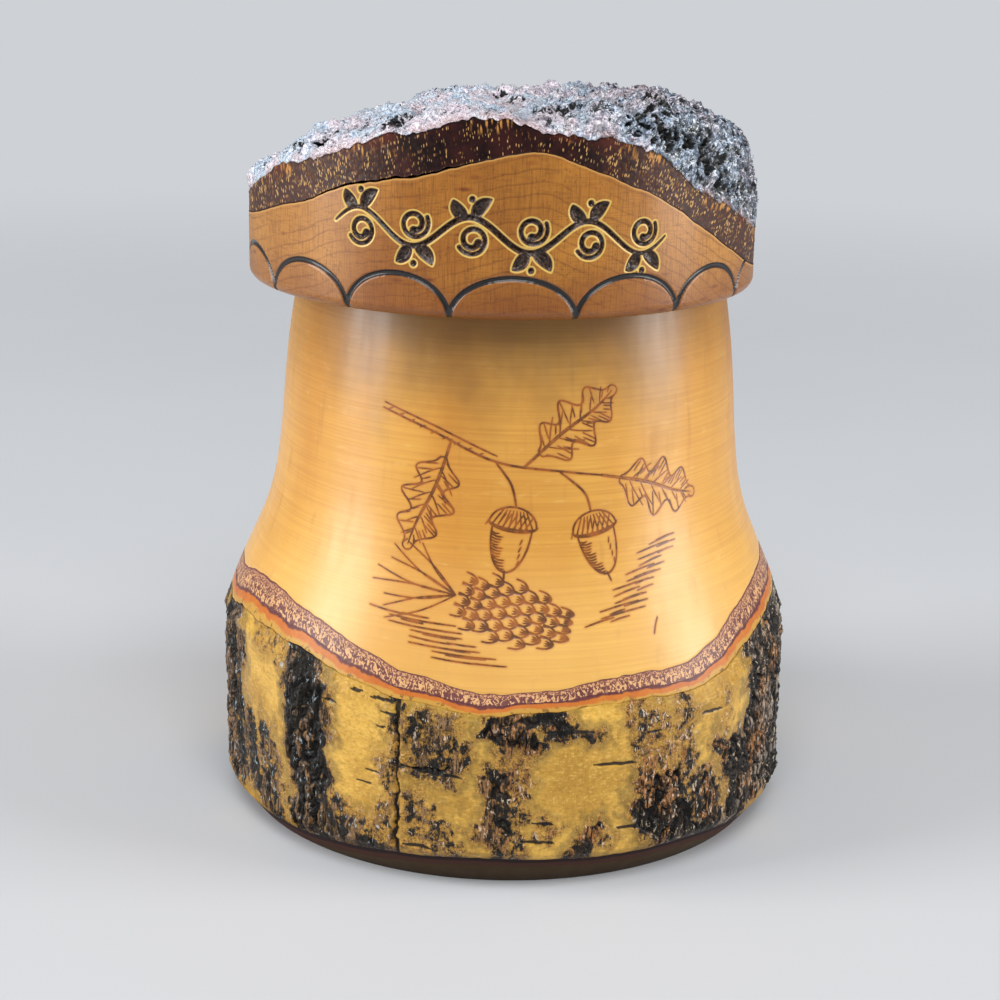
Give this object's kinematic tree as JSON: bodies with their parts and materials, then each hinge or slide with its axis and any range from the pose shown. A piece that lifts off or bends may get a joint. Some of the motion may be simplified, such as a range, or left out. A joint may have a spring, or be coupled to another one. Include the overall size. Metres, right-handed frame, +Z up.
{
  "type": "bark-covered trinket box",
  "caption": "Small round trinket box turned from a birch-like log, with a bark skirt and a lift-off lid cut from a thick-barked slab.",
  "frame": {"origin": "middle of the flat foot that the box stands on", "axes": "+Z up along the body's turned axis, -Y towards the front that the picture shows, +X to the right seen from the front"},
  "size_m": [0.101, 0.1052, 0.1273],
  "materials": {
    "body_wood": "varnished",
    "body_inner_bark": "satin",
    "body_cortex": "satin",
    "body_outer_bark": "rough",
    "lid_wood": "varnished",
    "lid_inner_bark": "satin",
    "lid_outer_bark": "rough"
  },
  "bodies": {
    "box": {"body_wood": "body_wood", "body_inner_bark": "body_inner_bark", "body_cortex": "body_cortex", "body_outer_bark": "body_outer_bark"},
    "lid": {"lid_wood": "lid_wood", "lid_inner_bark": "lid_inner_bark", "lid_outer_bark": "lid_outer_bark"}
  },
  "joints": [
    {"name": "lid_lift", "type": "slide", "parent": "box", "child": "lid", "axis": [0, 0, 1], "range_m": [0, 0.06]}
  ]
}
